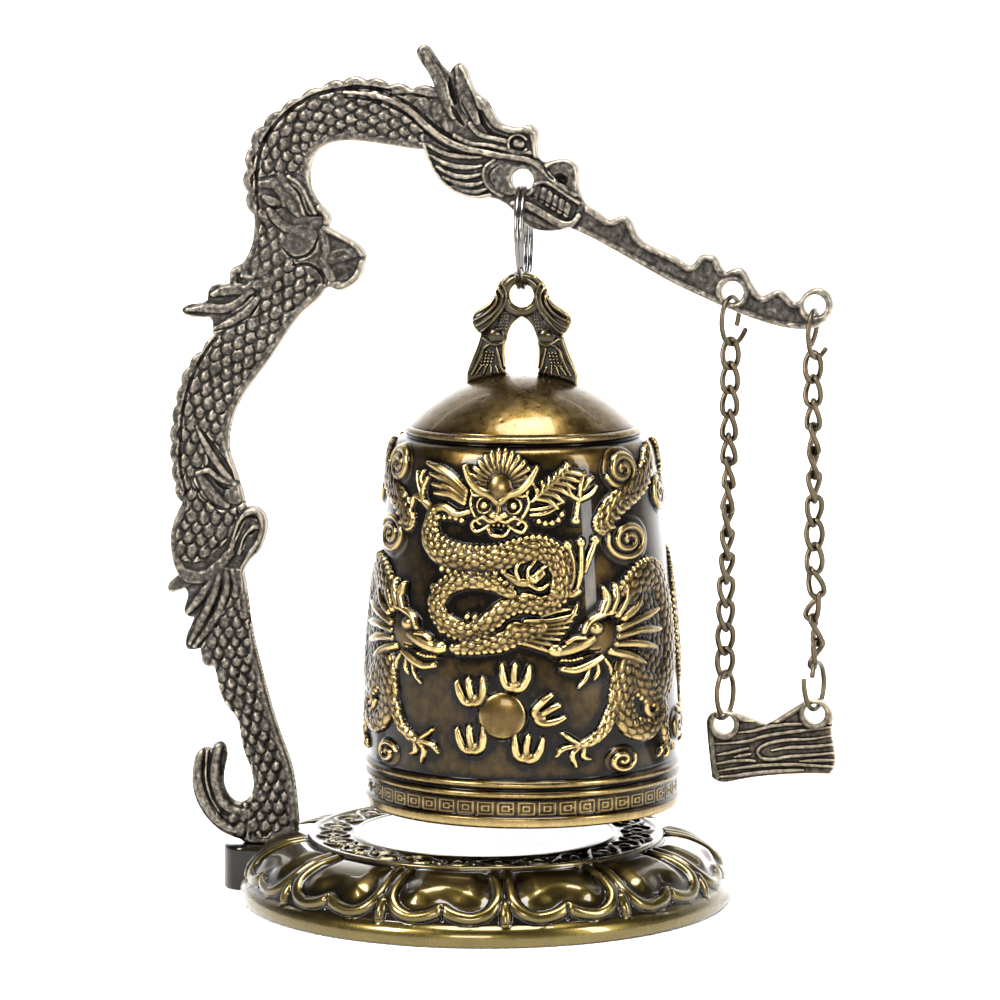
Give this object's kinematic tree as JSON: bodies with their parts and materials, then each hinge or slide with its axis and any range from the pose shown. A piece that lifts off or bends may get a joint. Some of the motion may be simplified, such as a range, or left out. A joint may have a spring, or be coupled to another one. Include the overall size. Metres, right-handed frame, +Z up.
{
  "type": "temple bell",
  "caption": "Small ornamental bell hung from a cast dragon arm on a round lotus base, with a striker plate on two fine chains.",
  "frame": {"origin": "middle of the whole object's footprint, on the surface it stands on", "axes": "+Z up; X along the flat dragon, dragon's back at -X and striker at +X; Y through the dragon's thickness, the usual viewing side at -Y"},
  "size_m": [0.0961, 0.07, 0.1209],
  "materials": {
    "stand_bronze": "antique bronze plating, dark in the recesses, rubbed to brass on high points",
    "bell_brass": "antique brass under clear lacquer, brushed ground with near-black recesses",
    "crown_brass": "dark antique brass with rubbed edges",
    "base_brass": "dark olive antique brass, glossy clear lacquer",
    "striker_brass": "antique brass, rubbed grain ridges",
    "chain_bronze": "satin bronze plated wire",
    "ring_nickel": "bright nickel plating",
    "screw_steel": "zinc plated"
  },
  "bodies": {
    "stand": {"lotus_base": "base_brass", "dragon_stand": "stand_bronze", "stand_screw": "screw_steel"},
    "suspension_ring": {"split_ring": "ring_nickel"},
    "bell": {"bell_crown": "crown_brass", "bell_shell": "bell_brass"},
    "left_hook": {"left_top_jump_ring": "chain_bronze"},
    "right_hook": {"right_top_jump_ring": "chain_bronze"},
    "left_chain": {"left_link_01": "chain_bronze", "left_link_02": "chain_bronze", "left_link_03": "chain_bronze", "left_link_04": "chain_bronze", "left_link_05": "chain_bronze", "left_link_06": "chain_bronze", "left_link_07": "chain_bronze", "left_link_08": "chain_bronze", "left_link_09": "chain_bronze", "left_link_10": "chain_bronze", "left_link_11": "chain_bronze", "left_link_12": "chain_bronze", "left_link_13": "chain_bronze", "left_link_14": "chain_bronze", "left_bottom_jump_ring": "chain_bronze"},
    "right_chain": {"right_link_01": "chain_bronze", "right_link_02": "chain_bronze", "right_link_03": "chain_bronze", "right_link_04": "chain_bronze", "right_link_05": "chain_bronze", "right_link_06": "chain_bronze", "right_link_07": "chain_bronze", "right_link_08": "chain_bronze", "right_link_09": "chain_bronze", "right_link_10": "chain_bronze", "right_link_11": "chain_bronze", "right_link_12": "chain_bronze", "right_link_13": "chain_bronze", "right_bottom_jump_ring": "chain_bronze"},
    "striker": {"striker_plate": "striker_brass"}
  },
  "joints": [
    {"name": "ring_side_swing", "type": "hinge", "parent": "stand", "child": "suspension_ring", "pos_m": [0.003, 0, 0.10121], "axis": [0, 1, 0], "range_deg": [0, 4.5]},
    {"name": "bell_swing", "type": "hinge", "parent": "suspension_ring", "child": "bell", "pos_m": [0.003, 0, 0.09406], "axis": [1, 0, 0], "range_deg": [-25, 25]},
    {"name": "left_hook_swing", "type": "hinge", "parent": "stand", "child": "left_hook", "pos_m": [0.03247, 0, 0.08279], "axis": [0.9892, 0, -0.1462], "range_deg": [-30, 30]},
    {"name": "right_hook_swing", "type": "hinge", "parent": "stand", "child": "right_hook", "pos_m": [0.04398, 0, 0.08109], "axis": [0.9892, 0, -0.1462], "range_deg": [-30, 30]},
    {"name": "left_chain_swing", "type": "hinge", "parent": "left_hook", "child": "left_chain", "pos_m": [0.03235, 0, 0.07949], "axis": [0, 1, 0], "range_deg": [-30, 3.2]},
    {"name": "right_chain_swing", "type": "hinge", "parent": "right_hook", "child": "right_chain", "pos_m": [0.04385, 0, 0.07779], "axis": [0, 1, 0], "range_deg": [-32.2, 3.5]},
    {"name": "striker_level", "type": "hinge", "parent": "left_chain", "child": "striker", "pos_m": [0.0318, 0, 0.02665], "axis": [0, 1, 0], "range_deg": [-2.8, 25.3]}
  ],
  "couplings": [
    {"joint": "right_hook_swing", "follows": "left_hook_swing", "ratio": 1},
    {"joint": "right_chain_swing", "follows": "left_chain_swing", "ratio": 1.0707},
    {"joint": "striker_level", "follows": "left_chain_swing", "ratio": -0.8389}
  ]
}
